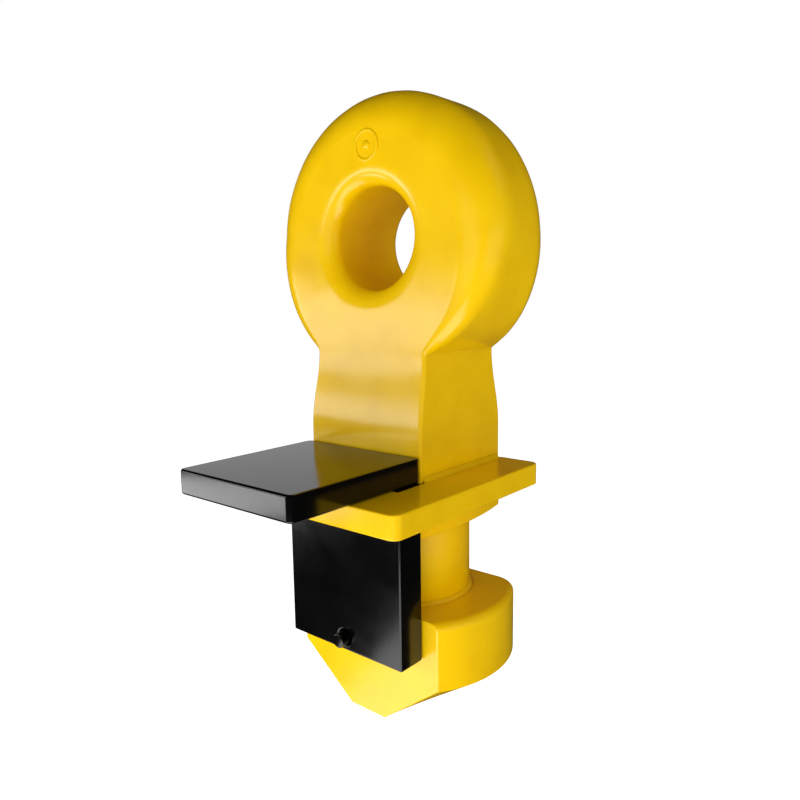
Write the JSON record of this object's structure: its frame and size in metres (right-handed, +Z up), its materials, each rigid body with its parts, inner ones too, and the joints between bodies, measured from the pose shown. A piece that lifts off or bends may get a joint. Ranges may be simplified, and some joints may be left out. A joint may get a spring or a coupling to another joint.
{
  "type": "container lifting lug",
  "caption": "Hammerhead lifting lug: a forged eye and square neck over a flange plate, a round shank and a T-head, with a sliding L-shaped lock plate and stop pin.",
  "frame": {"origin": "middle of the lifting eye's bore, at the middle of the eye's thickness", "axes": "+Z up along the shank towards the eye, +X across the lug, the bore runs along Y and the lock plate is on the -Y side"},
  "size_m": [0.1158, 0.1314, 0.2575],
  "materials": {
    "yellow_body": "gloss",
    "yellow_flange": "gloss",
    "yellow_weld": "gloss",
    "black_plate": "gloss",
    "black_pin": "satin"
  },
  "bodies": {
    "lug": {"eye_forging": "yellow_body", "flange_plate": "yellow_flange", "locating_block": "yellow_body", "shank": "yellow_body", "hammerhead": "yellow_body", "neck_weld_right": "yellow_weld", "neck_weld_left": "yellow_weld", "shank_weld": "yellow_weld"},
    "lock": {"lock_handle": "black_plate", "lock_tongue": "black_plate", "lock_weld": "black_plate", "stop_pin": "black_pin"}
  },
  "joints": [
    {"name": "lock_slide", "type": "slide", "parent": "lug", "child": "lock", "axis": [0, 0, 1], "range_m": [0, 0.055]}
  ]
}
